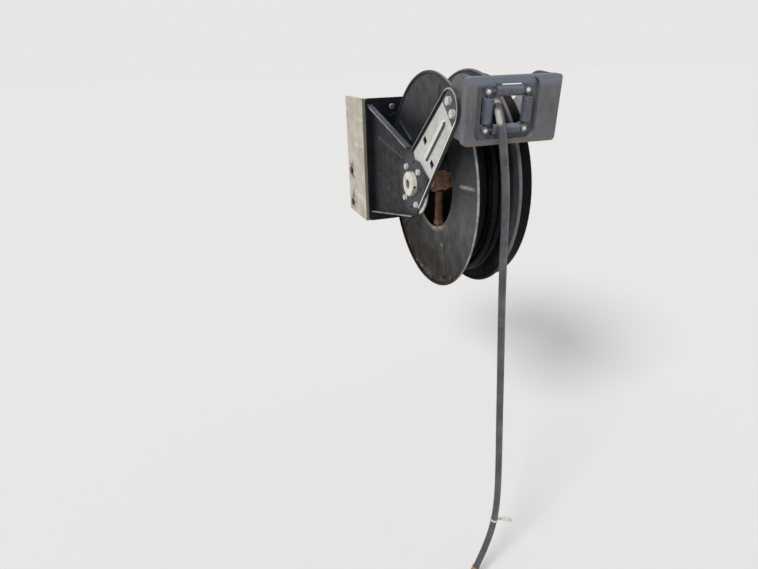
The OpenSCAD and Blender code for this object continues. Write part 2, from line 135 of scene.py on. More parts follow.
THREAD_L, THREAD_R, THREAD_RISE, THREAD_STEP = 14.0, 6.8, 0.4, 1.6
BORE_R = 3.9
BAND_Z, BAND_L, BAND_PROUD = 186.0, 12.0, 0.9
TIE_Z, TIE_L, TIE_PROUD = -770.0, 4.6, 1.1
LOCK_OUT, LOCK_AHEAD, LOCK_FLATS = 2.6, 1.5, 6.4
TAIL_HALF_WIDE, TAIL_HALF_THICK, TAIL_POINTS = 5.29, 1.38, 26

# Frame
ARM_OUT = 84.0
EAR_T = 2.0
WING_OUT = 87.0
WING_EDGE = 99.0
BOSS_R = 27.5
PORT_R = 10.0
BASE_FRONT = 296.0
ANGLE_T = 6.0
SLOT_FACE, SLOT_Y = -110.0, 420.0
SLOT_Z = (-36.0, -130.0)
ARM_REACH = 256.0
ARM_HUB_R, ARM_END_R = 62.0, 38.0
ARM_TILT = math.radians(43)
ARM_DIR = np.array([-math.cos(ARM_TILT), math.sin(ARM_TILT)])
ARM_CROSS = np.array([-ARM_DIR[1], ARM_DIR[0]])
ALONG_ARM = (0, *ARM_DIR.tolist())
UNDER_ARM = (0, *ARM_CROSS.tolist())
OVER_ARM = (0, *(-ARM_CROSS).tolist())

# Outlet box: the middle of its face, its tip, and the four screws of its tray
BOX_TIP = math.radians(6)
BOX_MID = np.array([0.0, ARM_REACH * ARM_DIR[0] - 81, ARM_REACH * ARM_DIR[1] - 2])
POST_X = (-50.2, 28.3)
POST_Z = 33.5
POST_FRONT = 3.0

# Fasteners: places as (Y, Z), hexagons as (width over flats, washer's diameter), screws as
# (width, height), and bolt ends as their rings' radii and heights
HUB_BOLTS, HUB_HEX = ((32, 34), (-38, 32), (43, -40), (-25, -43)), (12, 14)
END_BOLTS, END_HEX = ((-188, 189), (-206, 167)), (15, 17)
BASE_BOLTS_X, BASE_BOLTS_Z, BASE_HEX = (-28, 62), 147, (11, 14)
BASE_END = ((3.4, 3.4, 2.8), (4.0, 8.4, 9.0))
SLOT_HEX, SLOT_SQUAT = (19, 24), 0.66
SLOT_SHANK = ((5.9, 5.9, 5.4), (-2.0, 5.2, 5.8))
WING_SCREWS, WING_SCREW = ((-46, -5), (-5, 49), (10, -55)), (6, 1.6)
BOSS_SCREW_AT, BOSS_SCREW_AXIS, BOSS_SCREW = (-93, -BOSS_R + 0.1, -3), (0, -1, -0.1), (5.5, 1.0)
TRAY_SCREW = (8.4, 2.9)
# Heights of a washer and of a head, and the width over corners, as shares of that over flats
WASHER_HIGH, HEAD_HIGH, OVER_CORNERS = 0.14, 0.5, 1.155
CRISP = 30.0


def on_box(points):
    """Points as (across, back, up) from the middle of the box's face, tipped as the box is."""
    x, y, z = np.moveaxis(np.asarray(points, float), -1, 0)
    c, s = math.cos(BOX_TIP), math.sin(BOX_TIP)
    return np.stack([x, y * c - z * s, y * s + z * c], -1) + BOX_MID


# Camera, from points read off the photograph: its place from the hub, and its turns
CAMERA_AT = (-549.51, -1173.16, 264.04)
CAMERA_YAW, CAMERA_PITCH, CAMERA_ROLL = (math.radians(a) for a in (17.694, 22.0, -1.92))
FOCAL_PX, PHOTO_W = 556.94, 758
SENSOR_W = 36.0
CLIP_M = (0.01, 50.0)


def make_camera():
    """Camera that looks along the given yaw and pitch and leans by the roll."""
    ahead = np.array([math.sin(CAMERA_YAW) * math.cos(CAMERA_PITCH),
                      math.cos(CAMERA_YAW) * math.cos(CAMERA_PITCH), -math.sin(CAMERA_PITCH)])
    level = np.array([math.cos(CAMERA_YAW), -math.sin(CAMERA_YAW), 0.0])
    above = np.cross(level, ahead)
    right = math.cos(CAMERA_ROLL) * level + math.sin(CAMERA_ROLL) * above
    up = math.cos(CAMERA_ROLL) * above - math.sin(CAMERA_ROLL) * level
    data = bpy.data.cameras.new("camera")
    data.sensor_width = SENSOR_W
    data.lens = FOCAL_PX / PHOTO_W * data.sensor_width
    data.clip_start, data.clip_end = CLIP_M
    camera = bpy.data.objects.new("camera", data)
    bpy.context.scene.collection.objects.link(camera)
    turn = Matrix(np.stack([right, up, -ahead], 1).tolist()).to_4x4()
    camera.matrix_world = Matrix.Translation(Vector(from_hub(CAMERA_AT))) @ turn
    bpy.context.scene.camera = camera


make_camera()


# Grids of points and the shells made of them

def circle(count):
    """Equal angles once round."""
    return np.linspace(0, 2 * np.pi, count, endpoint=False)


def round_axle(x, radius, angle):
    """Points at a distance from the axle; angle 0 is up, and a quarter turn on is the front."""
    return np.stack([x, -radius * np.sin(angle), radius * np.cos(angle)], -1)


def shell(grid, looped=False):
    """Points and faces of a grid whose columns go round: each cell joins four neighbours.

    The last row of a looped grid joins its first; any other grid is capped at both ends.
    """
    rows, columns = grid.shape[:2]
    r = np.arange(rows if looped else rows - 1)[:, None]
    c = np.arange(columns)[None, :]
    r1, c1 = (r + 1) % rows, (c + 1) % columns
    corners = [r * columns + c, r * columns + c1, r1 * columns + c1, r1 * columns + c]
    faces = np.stack(corners, -1).reshape(-1, 4).tolist()
    if not looped:
        ring = np.arange(columns)
        faces += [ring[::-1].tolist(), (ring + (rows - 1) * columns).tolist()]
    return grid.reshape(-1, 3), faces


def frame_of(axis):
    """Two directions square to an axis, and the axis itself, each one unit long."""
    axis = np.asarray(axis, float) / np.linalg.norm(axis)
    side = np.array([0.0, 0.0, 1.0]) if abs(axis[2]) < 0.9 else np.array([0.0, 1.0, 0.0])
    across = np.cross(side, axis)
    across /= np.linalg.norm(across)
    return across, np.cross(axis, across), axis


def turned(at, axis, radii, heights, columns=32, reach=None):
    """Shell of revolution: each row is a ring of its radius at its height along the axis.

    reach gives, for each angle, the most that a ring's radius may be, as a hexagon's flats do.
    """
    across, above, axis = frame_of(axis)
    angle = circle(columns)
    r = np.asarray(radii, float)[:, None] * np.ones(columns)
    if reach is not None:
        r = np.minimum(r, reach(angle))
    h = np.asarray(heights, float)[:, None, None]
    grid = (np.asarray(at, float) + h * axis
            + r[..., None] * (np.cos(angle)[:, None] * across + np.sin(angle)[:, None] * above))
    return shell(grid)


def hexagon(flats):
    """Distance from the middle of a hexagon to its edge at an angle.

    It is half the width over flats, over the cosine of the angle from the nearest flat's middle.
    """
    return lambda angle: flats / 2 / np.cos((angle + np.pi / 6) % (np.pi / 3) - np.pi / 6)


def hex_head(at, axis, flats, washer, squat=1.0):
    """Washer and hexagon head, both standing on a face along the axis.

    The head is a stack of wide rings cut to the hexagon, then narrower ones for the chamfer and
    the top. squat is a factor on both heights.
    """
    thick, high = WASHER_HIGH * flats * squat, HEAD_HIGH * flats * squat
    corner = flats / 2 * OVER_CORNERS
    return [
        turned(at, axis, [washer / 2, washer / 2, washer / 2 - 0.5], [-0.3, thick - 0.4, thick]),
        turned(at, axis, [corner * 1.2] * 3 + [corner * 0.97, corner * 0.86, corner * 0.8],
               [thick - 0.3, thick + 0.5, high * 0.84, high * 0.93, high, high],
               48, hexagon(flats)),
    ]


def pan_head(at, axis, wide, high):
    """Round screw head: its side is a quarter ellipse, a little fuller, from face to crown."""
    t = np.linspace(0, 1, 9)[:-1] * np.pi / 2
    rise = np.concatenate([[-0.5], high * np.sin(t), [high]])
    radius = np.concatenate([[wide / 2], wide / 2 * np.cos(t) ** 0.7, [wide * 0.04]])
    return [turned(at, axis, radius, rise, 28)]


def along(path, radius, columns, shape=None):
    """Tube: a ring of points round each point of a path, square to the path's direction there.

    shape(row, angle) gives a factor on the radius, for flat and tapered tubes.
    """
    path = np.asarray(path, float)
    run = np.gradient(path, axis=0)
    run /= np.linalg.norm(run, axis=1, keepdims=True)
    side = np.cross(run, [1.0, 0.0, 0.0])
    side /= np.linalg.norm(side, axis=1, keepdims=True)
    lift = np.cross(run, side)
    angle = circle(columns)[None, :]
    r = radius * (np.ones((len(path), columns)) if shape is None
                  else shape(np.arange(len(path))[:, None], angle))
    return shell(path[:, None] + r[..., None] * (np.cos(angle)[..., None] * side[:, None]
                                                 + np.sin(angle)[..., None] * lift[:, None]))


def piece(name, shells, finish, body, smooth=40.0):
    """One object from shells, riding on a body. Edges over smooth, in degrees, look sharp."""
    starts = np.cumsum([0] + [len(points) for points, _ in shells])
    points = from_hub(np.concatenate([points for points, _ in shells]))
    faces = [[i + start for i in face]
             for (_, own), start in zip(shells, starts) for face in own]
    mesh = bpy.data.meshes.new(name)
    mesh.from_pydata(points.tolist(), [], faces)
    work = bmesh.new()
    work.from_mesh(mesh)
    bmesh.ops.recalc_face_normals(work, faces=work.faces)
    work.to_mesh(mesh)
    work.free()
    mesh.shade_smooth()
    mesh.set_sharp_from_angle(angle=math.radians(smooth))
    mesh.materials.append(finish)
    made = bpy.data.objects.new(name, mesh)
    bpy.context.scene.collection.objects.link(made)
    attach(made, body)
    return made


# Finishes

def tone(r, g, b):
    """Colour written as 0 to 255 screen values, as the linear colour that a shader takes."""
    v = np.array([r, g, b]) / 255
    lin = np.where(v <= 0.04045, v / 12.92, ((v + 0.055) / 1.055) ** 2.4)
    return (*lin.tolist(), 1.0)


class Finish:
    """A material whose nodes read Object coordinates.

    base() gives its colour, each coat() lays one more over it, and done() wires it up. Masks are
    values from 0 to 1. Where one takes a low and a high, it is 0 up to low and 1 from high on.
    """

    def __init__(self, name, metallic, specular=0.5):
        self.material = bpy.data.materials.new(name)
        self.material.use_nodes = True
        self.tree = self.material.node_tree
        self.shader = self.tree.nodes["Principled BSDF"]
        self.shader.inputs["Metallic"].default_value = metallic
        self.shader.inputs["Specular IOR Level"].default_value = specular
        coords = self.node("ShaderNodeTexCoord")
        self.place, self.normal = coords.outputs["Object"], coords.outputs["Normal"]
        self.colour = None

    def feed(self, socket, value):
        """Links a socket to another one, or sets it to a plain value."""
        if isinstance(value, bpy.types.NodeSocket):
            self.tree.links.new(value, socket)
        else:
            socket.default_value = value

    def node(self, kind, feeds=(), **settings):
        """A new node with its settings, and its inputs fed by name or by number."""
        made = self.tree.nodes.new(kind)
        for key, value in settings.items():
            setattr(made, key, value)
        for key, value in dict(feeds).items():
            self.feed(made.inputs[key], value)
        return made

    def math(self, operation, a, b):
        """Result of an operation on two values."""
        return self.node("ShaderNodeMath", {0: a, 1: b}, operation=operation).outputs["Value"]

    def vector(self, operation, a, b=(0, 0, 0)):
        """Outputs of an operation on two vectors."""
        return self.node("ShaderNodeVectorMath", {0: a, 1: b}, operation=operation).outputs

    def times(self, value, *others):
        """Product of all values."""
        for other in others:
            value = self.math("MULTIPLY", value, other)
        return value

    def less(self, value):
        """1 less a value."""
        return self.math("SUBTRACT", 1.0, value)

    def window(self, value, low, high, start=0.0, end=1.0):
        """A value that goes from start to end while its source goes from low to high."""
        feeds = {"Value": value, "From Min": low, "From Max": high, "To Min": start, "To Max": end}
        made = self.node("ShaderNodeMapRange", feeds, interpolation_type="SMOOTHSTEP")
        return made.outputs["Result"]

    def noise(self, size, detail, stretch=(1, 1, 1), turn=(0, 0, 0), rough=0.55):
        """Cloudy grey of a size; a stretch below 1 draws it out that way."""
        mapping = self.node("ShaderNodeMapping", {
            "Vector": self.place, "Scale": stretch, "Rotation": turn})
        made = self.node("ShaderNodeTexNoise", {
            "Vector": mapping.outputs["Vector"], "Scale": 1 / (size * MM), "Detail": detail,
            "Roughness": rough})
        return made.outputs["Fac"]

    def patches(self, size, detail, low, high, start=0.0, end=1.0, **look):
        """Noise through a window: the higher low and high are, the fewer the patches."""
        return self.window(self.noise(size, detail, **look), low, high, start, end)

    def drift(self, size, detail, least, most):
        """A value that wanders evenly between two others."""
        return self.patches(size, detail, 0.3, 0.7, least, most)

    def flakes(self, size):
        """A random grey in each cell of a crystal pattern."""
        made = self.node("ShaderNodeTexVoronoi", {"Vector": self.place, "Scale": 1 / (size * MM)})
        split = self.node("ShaderNodeSeparateColor", {"Color": made.outputs["Color"]})
        return split.outputs["Red"]

    def facing(self, axis, low, high):
        """Mask by the cosine between the surface's normal and an axis."""
        return self.window(self.vector("DOT_PRODUCT", self.normal, axis)["Value"], low, high)

    def span(self, axis, low, high, start=0.0, end=1.0):
        """Window between two distances along an axis."""
        middle = float(np.dot(axis, HUB))
        return self.window(self.vector("DOT_PRODUCT", self.place, axis)["Value"],
                           middle + low * MM, middle + high * MM, start, end)

    def aside(self, low, high):
        """Mask by the distance from the drum's middle to either side."""
        x = self.vector("DOT_PRODUCT", self.place, FAR)["Value"]
        off = self.math("ABSOLUTE", self.math("SUBTRACT", x, float(HUB[0])), 0.0)
        return self.window(off, low * MM, high * MM)

    def radius(self, low, high, centre=(0, 0, 0)):
        """Mask by the distance from a line along X through centre."""
        shift = self.vector("SUBTRACT", self.place, tuple(from_hub(centre).tolist()))["Vector"]
        flat = self.vector("MULTIPLY", shift, (0, 1, 1))["Vector"]
        return self.window(self.vector("LENGTH", flat)["Value"], low * MM, high * MM)

    def mix(self, share, a, b):
        """Colour a where share is 0 and b where it is 1; each is a socket or 0 to 255 values."""
        a, b = (c if isinstance(c, bpy.types.NodeSocket) else tone(*c) for c in (a, b))
        made = self.node("ShaderNodeMix", {"Factor": share, 6: a, 7: b}, data_type="RGBA")
        return made.outputs[2]

    def base(self, share, a, b):
        """Sets the colour to a mix of two."""
        self.colour = self.mix(share, a, b)

    def coat(self, colour, *shares):
        """Lays a colour over what is there, by the product of the shares."""
        self.colour = self.mix(self.times(*shares), self.colour, colour)

    def done(self, rough, height=None, depth=0.4, strength=0.5):
        """Wires colour, roughness and bump to the shader."""
        self.feed(self.shader.inputs["Base Color"], self.colour)
        self.feed(self.shader.inputs["Roughness"], rough)
        if height is not None:
            bump = self.node("ShaderNodeBump", {
                "Distance": depth * MM, "Strength": strength, "Height": height})
            self.feed(self.shader.inputs["Normal"], bump.outputs["Normal"])
        return self.material


DUST = (150, 141, 124)
DISC_SHINE = 0.25


def arm_strip(f, side, start, end):
    """Mask of a strip on an arm's outer face, along its lower (side 1) or upper (-1) edge.

    start and end are the strip's two sides, each as the pair of distances from the arm's edge
    over which it fades in or out; below zero they lie inside the edge.
    """
    lean = math.asin((ARM_HUB_R - ARM_END_R) / ARM_REACH)
    axis = (0, *(ARM_DIR * math.sin(lean) + side * ARM_CROSS * math.cos(lean)).tolist())
    within = f.times(f.span(axis, ARM_HUB_R + start[0], ARM_HUB_R + start[1]),
                     f.less(f.span(axis, ARM_HUB_R + end[0], ARM_HUB_R + end[1])))
    ends = f.less(f.span(ALONG_ARM, ARM_REACH + 4, ARM_REACH + 14))
    return f.times(within, ends, f.aside(ARM_OUT - 1.2, ARM_OUT - 0.4))


def dull_below(f, least):
    """Lets a disc's shine fall to least towards the drum's lower edge."""
    f.feed(f.shader.inputs["Specular IOR Level"], f.span(UP, -180, -20, least, DISC_SHINE))


def galvanised_sheet():
    """Zinc coat of the arms: flat crystals, soft blotches and grime in streaks.

    The pressed bead's crest carries a painted highlight and the flange's rim is darkened as
    painted shade, apart from a painted highlight along the lower one. Undersides, inner walls,
    the round end and the web beside the flange are darkened as painted shade, as in the
    flange's shadow.
    """
    f = Finish("galvanised_sheet", 0.25)
    f.base(f.window(f.flakes(7), 0, 1), (188, 189, 186), (204, 204, 199))
    f.coat((172, 171, 164), f.patches(30, 6, 0.42, 0.66, rough=0.65), 0.55)
    f.coat((138, 135, 126), f.patches(14, 6, 0.58, 0.74, stretch=(1, 1, 0.16)), 0.45)
    # Painted highlight on the bead's crest.
    crest = f.times(f.aside(ARM_OUT + 1.5, ARM_OUT + 3.5),
                    f.less(f.aside(ARM_OUT + 4.2, ARM_OUT + 4.6)))
    f.coat((220, 221, 213), crest, 0.8)
    # The flange's rim: painted shade here, and a painted highlight along the lower rim below.
    rim = f.aside(ARM_OUT + 4.3, ARM_OUT + 4.8)
    f.coat((134, 133, 127), rim, 0.5)
    # Painted shade: undersides, walls facing along the arm near the hub, upper flanks and the bands
    # beside both flanges.
    under = f.facing(UNDER_ARM, 0.08, 0.3)
    walls = f.times(f.facing(ALONG_ARM, 0.8, 0.95), f.less(f.radius(150, 170)))
    f.coat((36, 34, 34), f.math("MAXIMUM", under, walls), 0.92)
    f.coat((58, 58, 60), f.facing(OVER_ARM, 0.72, 0.85), 0.8)
    f.coat((14, 14, 15), arm_strip(f, -1, (-7.4, -6.6), (-1.5, -0.9)), 0.95)
    f.coat((50, 49, 46), arm_strip(f, 1, (-11.5, -8.8), (-3.4, -3.0)), 0.75)
    # Painted highlight: a bright line along the lower rim.
    f.coat((226, 225, 216), rim, arm_strip(f, 1, (-3.2, -3.0), (2, 3)), 0.9)
    # Painted shade on the round end.
    end = f.times(f.facing(ALONG_ARM, -0.1, 0.25), f.radius(ARM_REACH - 4, ARM_REACH + 6))
    f.coat((58, 61, 69), end, f.less(rim), 0.9)
    return f.done(f.drift(20, 4, 0.42, 0.62), f.noise(1.6, 3), 0.2, 0.35)


def weathered_zinc():
    """Mounting angle: chalky zinc with brown run-off, dark spatter and pale slanting wipes.

    Its slots are rusty, and the face that looks forward is darkened as painted shade.
    """
    f = Finish("weathered_zinc", 0.12)
    f.base(f.patches(60, 6, 0.35, 0.65), (190, 185, 172), (168, 162, 147))
    f.coat((132, 122, 104), f.patches(12, 6, 0.54, 0.72, stretch=(1, 1, 0.09)), 0.5)
    f.coat((84, 74, 62), f.patches(8, 7, 0.6, 0.68, rough=0.7), 0.8)
    wipes = f.patches(16, 6, 0.57, 0.66, stretch=(1, 0.12, 0.7), turn=(0.75, 0, 0), rough=0.6)
    f.coat((214, 211, 200), wipes, 0.5)
    slots = [f.less(f.radius(14, 40, (0, SLOT_Y, z))) for z in SLOT_Z]
    f.coat((116, 84, 58), f.patches(14, 6, 0.44, 0.6), f.math("MAXIMUM", *slots))
    # Painted shade on the face that looks forward.
    f.coat((82, 77, 66), f.facing(FRONT, 0.5, 0.9), 0.75)
    return f.done(0.68, f.noise(3, 5), 0.4, 0.45)


def disc_steel():
    """Near disc: zinc darkened as painted shade, with scuffs, darker above as more painted shade,
    brown and dull below and behind.

    Upward flanks of the dish and ribs carry painted highlights and downward ones painted shade.
    Bright metal shows at the eye's lower edge. The bead's front and patches near the foot carry
    painted highlights. Its inner face is darkened as painted shade.
    """
    f = Finish("disc_sheet", 0.15, DISC_SHINE)
    # Painted shade: the zinc's tones are darkened all over.
    f.base(f.patches(70, 5, 0.36, 0.64), (66, 66, 67), (54, 55, 56))
    f.coat((90, 89, 86), f.patches(10, 6, 0.56, 0.7, stretch=(1, 0.25, 0.25), rough=0.65), 0.45)
    # Painted shade over the upper part.
    high = f.span(UP, -20, 120)
    f.coat((38, 41, 47), high, 0.8)
    low = f.times(f.less(f.span(UP, -200, -40)), f.patches(35, 6, 0.38, 0.6, 0.45, 0.95))
    f.coat((31, 22, 12), low, 0.92)
    f.coat((27, 18, 8), f.span(BACK, -20, 170), f.less(high), 0.88)
    # Painted highlights on upward flanks of the dish and ribs, in patches and fainter above, and
    # painted shade on downward flanks.
    sheet = f.less(f.radius(DISC_R - 11, DISC_R - 9))
    worn = f.times(f.patches(30, 5, 0.35, 0.6, 0.5, 0.95), f.window(high, 0, 1, 1.0, 0.25),
                   f.span(UP, -160, -60, 0.3, 1.0))
    f.coat((160, 162, 164), sheet, f.facing(UP, 0.06, 0.36), worn)
    f.coat((20, 21, 25), sheet, f.facing(DOWN, 0.06, 0.3), 0.9)
    eye = f.times(f.less(f.radius(EYE_R + 2, EYE_R + 14)), f.less(f.span(UP, -105, -80)))
    f.coat((150, 149, 144), eye, f.patches(8, 5, 0.35, 0.6, 0.2, 0.8))
    # Painted highlight on the bead's front.
    bead = f.times(f.radius(DISC_R - 2.4, DISC_R - 0.6), f.facing((0, -0.97, 0.25), 0.1, 0.7))
    f.coat((168, 166, 158), bead, f.patches(30, 5, 0.35, 0.6, 0.45, 0.9))
    # Painted shade on the inner face.
    f.coat((26, 26, 28), f.facing(FAR, 0.3, 0.8))
    # Painted highlights in patches near the foot.
    foot = f.times(f.radius(DISC_R - 26, DISC_R - 14), f.less(f.span(UP, -210, -160)))
    f.coat((146, 148, 148), foot, sheet, f.patches(16, 6, 0.5, 0.62, rough=0.6), 0.6)
    dull_below(f, 0.04)
    return f.done(f.drift(30, 5, 0.34, 0.55), f.noise(2.5, 4), 0.3, 0.3)


def shaded_steel():
    """Far disc and core: sheet darkened to near black as painted shade, brown-black and dull below.

    Above, a grey band inside the rim is a painted reflection and the lighter bead is a painted
    highlight.
    """
    f = Finish("shaded_drum_sheet", 0.1, DISC_SHINE)
    # Painted shade: near-black tones stand in for the shade inside the drum.
    f.base(f.patches(50, 5, 0.36, 0.64), (40, 43, 48), (30, 32, 36))
    low = f.less(f.span(UP, -190, -60))
    f.coat((9, 6, 5), low, 0.95)
    # Painted reflection: a grey band inside the rim above.
    band = f.times(f.radius(DISC_R - 28, DISC_R - 14), f.less(low))
    f.coat((86, 91, 96), band, f.patches(40, 5, 0.3, 0.6, 0.3, 0.75))
    # Painted highlight on the bead, fainter below.
    bead = f.times(f.radius(DISC_R - 6.5, DISC_R - 2), f.window(f.less(low), 0, 1, 0.25, 1.0))
    f.coat((122, 124, 124), bead, f.patches(30, 5, 0.3, 0.6, 0.3, 0.8))
    dull_below(f, 0.02)
    return f.done(f.drift(30, 5, 0.5, 0.7), f.noise(2.5, 4), 0.3, 0.3)


def painted(name, base, worn, specular=0.5, gloss=(0.42, 0.6), dusty=(0.25, 0.8), strip=0.0):
    """Paint with chalky blotches, fine scratches to a lighter tone, and dust on upward faces.

    strip darkens it along an arm's upper flange, where a doubler plate lies in its shadow.
    """
    f = Finish(name, 0.0, specular)
    f.base(f.times(f.patches(30, 6, 0.45, 0.7), 0.5), base, worn)
    f.coat(worn, f.patches(4, 4, 0.66, 0.72, stretch=(1, 0.08, 0.6), turn=(0.5, 0, 0)), 0.35)
    f.coat(DUST, f.facing(UP, 0.35, 0.95), f.drift(12, 5, *dusty))
    if strip:
        f.coat((16, 16, 18), arm_strip(f, -1, (-7.6, -6.4), (0, 1)), strip)
    return f.done(f.drift(20, 4, *gloss), f.noise(2.2, 3), 0.2, 0.3)


def case_paint():
    """Spring case: black paint, with chalky blotches and scuffs on its flat cover."""
    f = Finish("case_paint", 0.0, 0.08)
    f.base(f.patches(30, 6, 0.45, 0.7), (5, 5, 7), (12, 12, 14))
    cover = f.facing(FAR, 0.7, 0.95)
    chalk = f.mix(f.patches(60, 6, 0.35, 0.68, rough=0.65), (30, 31, 34), (52, 52, 53))
    f.coat(chalk, cover)
    scuff = f.patches(6, 5, 0.63, 0.7, stretch=(1, 0.12, 0.5), turn=(0.4, 0, 0))
    f.coat((98, 97, 95), cover, scuff, 0.5)
    f.coat(DUST, f.facing(UP, 0.6, 1.0), f.drift(20, 5, 0.02, 0.2))
    return f.done(f.drift(20, 4, 0.4, 0.55), f.noise(2.2, 3), 0.2, 0.3)


def wing_paint():
    """Wings: dark paint, near black on the web as painted shade and grey round the hub, with
    painted light on upward faces and a painted highlight on folded edges.
    """
    f = Finish("wing_paint", 0.0, 0.18)
    # Painted shade: the web's near-black tone; round the hub the paint shows grey.
    f.base(f.patches(50, 5, 0.4, 0.66), (10, 12, 17), (20, 22, 28))
    grey = f.mix(f.patches(20, 6, 0.36, 0.64), (62, 61, 65), (76, 75, 77))
    f.coat(grey, f.less(f.radius(45, 95)), 0.85)
    scratch = f.patches(5, 4, 0.64, 0.72, stretch=(1, 0.1, 0.5), turn=(0.6, 0, 0))
    f.coat((104, 103, 103), scratch, 0.3)
    # Painted light on upward faces.
    f.coat((84, 90, 98), f.facing(UP, 0.4, 0.9), f.patches(40, 5, 0.3, 0.65, 0.55, 0.95))
    # Painted highlight along the folded edge.
    fold = f.times(f.aside(WING_EDGE - 1.4, WING_EDGE - 0.5), f.less(f.span(BACK, 265, 285)))
    f.coat((150, 152, 150), fold, f.patches(20, 5, 0.3, 0.6, 0.3, 0.85))
    return f.done(f.drift(20, 4, 0.45, 0.62), f.noise(2.2, 3), 0.2, 0.3)


def cream_plastic():
    """Moulded hub parts: yellowed cream with dirt in patches; darker and browner underneath
    and in the port.
    """
    f = Finish("cream_plastic", 0.0)
    f.base(f.patches(20, 5, 0.35, 0.65), (214, 210, 203), (196, 189, 177))
    f.coat((112, 100, 84), f.patches(11, 6, 0.57, 0.72, rough=0.65), 0.7)
    under = f.facing((0, -0.5, -0.87), 0.3, 0.9)
    f.coat((134, 118, 106), under, f.patches(12, 5, 0.3, 0.6, 0.4, 0.8))
    f.coat((84, 72, 64), f.less(f.radius(PORT_R - 0.2, PORT_R + 0.6)), 0.9)
    return f.done(0.48, f.noise(1.5, 3), 0.1, 0.3)


def rusty_steel(name, dull, bright):
    """Brown scale over dark steel, darker in its pits."""
    f = Finish(name, 0.15)
    f.base(f.patches(12, 7, 0.38, 0.62, rough=0.62), dull, bright)
    f.coat((88, 64, 52), f.patches(4, 6, 0.56, 0.66, rough=0.7), 0.7)
    return f.done(0.82, f.noise(2.8, 6, rough=0.7), 0.7, 0.8)


def zinc_plate():
    """Bolts and pins: bright zinc with a grey bloom and a little rust."""
    f = Finish("zinc_plate", 0.25)
    f.base(f.patches(6, 5, 0.4, 0.62), (206, 208, 208), (178, 178, 175))
    f.coat((126, 92, 62), f.patches(5, 6, 0.64, 0.7, rough=0.7), 0.6)
    return f.done(f.drift(4, 4, 0.38, 0.55), f.noise(1.2, 3), 0.1, 0.3)


def box_plastic():
    """Outlet box: dark grey moulding with fine grain, pale scratches and smears.

    The sunk tray is a little paler, as painted light. Near the top the face turns blue-grey and
    the tray light blue-grey, as painted light. Upward faces turn paler blue-grey in patches, and
    brown dust lies on the lower lip.
    """
    f = Finish("box_plastic", 0.0, 0.4)
    f.base(f.patches(50, 5, 0.38, 0.62), (95, 94, 99), (85, 84, 88))
    scratch = f.patches(3, 5, 0.66, 0.74, stretch=(0.12, 1, 1), turn=(0, 0.6, 0))
    f.coat((136, 134, 134), scratch, 0.4)
    f.coat((116, 112, 106), f.patches(20, 6, 0.52, 0.74, stretch=(1, 1, 0.3)), 0.35)
    inward, rise = (tuple((on_box(way) - BOX_MID).tolist()) for way in (BACK, UP))
    face, middle = float(BOX_MID @ inward), float(BOX_MID @ rise)
    # Painted light: the sunk tray is lifted paler.
    tray = f.times(f.span(inward, face + 3, face + 10), f.facing(FRONT, 0.5, 0.9))
    f.coat((98, 101, 106), tray, 0.8)
    # Painted light near the top of the face and the tray.
    head = f.times(f.span(rise, middle + 36, middle + 50), f.facing(FRONT, 0.3, 0.8))
    f.coat(f.mix(tray, (104, 110, 122), (150, 158, 174)), head)
    foot = (float(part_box("outlet_box")[0].z) - float(HUB[2])) / MM
    lip = f.less(f.span(UP, foot + 3, foot + 12))
    f.coat((108, 96, 84), lip, f.patches(12, 5, 0.3, 0.6, 0.35, 0.85))
    f.coat((116, 124, 134), f.facing(UP, 0.3, 0.9), f.drift(14, 5, 0.3, 0.75))
    return f.done(f.drift(20, 4, 0.5, 0.66), f.noise(0.8, 2), 0.12, 0.5)


def roller_nylon():
    """Rollers: blue-grey nylon with rings rubbed by the hose, brown below, and a painted highlight
    above.
    """
    f = Finish("roller_nylon", 0.0)
    f.base(f.patches(12, 5, 0.38, 0.62), (82, 87, 99), (68, 71, 82))
    f.coat((104, 108, 117), f.patches(4, 4, 0.55, 0.7, stretch=(1, 0.2, 0.2)), 0.45)
    below = f.facing((0, -0.3, -0.95), 0.3, 0.9)
    f.coat((88, 72, 68), below, f.patches(10, 4, 0.3, 0.6, 0.3, 0.8))
    # Painted highlight on faces that look up.
    f.coat((116, 121, 131), f.facing((0, -0.35, 0.94), 0.45, 0.95), 0.7)
    return f.done(f.drift(5, 4, 0.34, 0.52), f.noise(1, 3), 0.1, 0.4)


def hose_rubber(name, base, worn, dusty, specular=0.4, side_shading=0.0):
    """Rubber cover with the fine grain that its cloth wrapping leaves, and dust rubbed into it.

    Its last argument sets how far its -X side is darkened as painted shade and its +X side
    lightened as painted light. Where it is given, the hose is also black inside the drum as
    painted shade, as the wound turns are, and carries a painted highlight where it bends down.
    """
    f = Finish(name, 0.0, specular)
    f.base(f.patches(50, 5, 0.35, 0.65), base, worn)
    f.coat((122, 120, 117), f.patches(12, 6, 0.48, 0.7, rough=0.65), dusty)
    if side_shading:
        # Painted shade on the -X side.
        f.coat(worn, f.facing((-0.9, -0.3, 0.3), -0.1, 0.9), side_shading)
        # Painted light on the +X side.
        f.coat((116, 114, 113), f.facing((0.95, -0.3, 0), 0.2, 0.9), side_shading)
        # Painted shade: black inside the drum.
        f.coat((10, 10, 12), f.less(f.radius(DISC_R - 25, DISC_R + 10)), 0.85)
        # Painted highlight where the hose bends down.
        bend = f.times(f.span(UP, 147, 156), f.less(f.span(UP, 172, 180)),
                       f.facing((-0.92, -0.35, 0.18), 0.25, 0.75))
        f.coat((182, 181, 177), bend, f.patches(8, 5, 0.3, 0.55, 0.6, 1.0), 0.85)
    return f.done(0.62, f.noise(1.2, 3), 0.15, 0.5)


def brass():
    """Hose's end: brass with dull brown patches."""
    f = Finish("dull_brass", 0.75)
    f.base(f.patches(8, 5, 0.4, 0.6), (176, 150, 92), (132, 108, 68))
    return f.done(f.drift(6, 4, 0.32, 0.5), f.noise(1, 3), 0.1, 0.3)


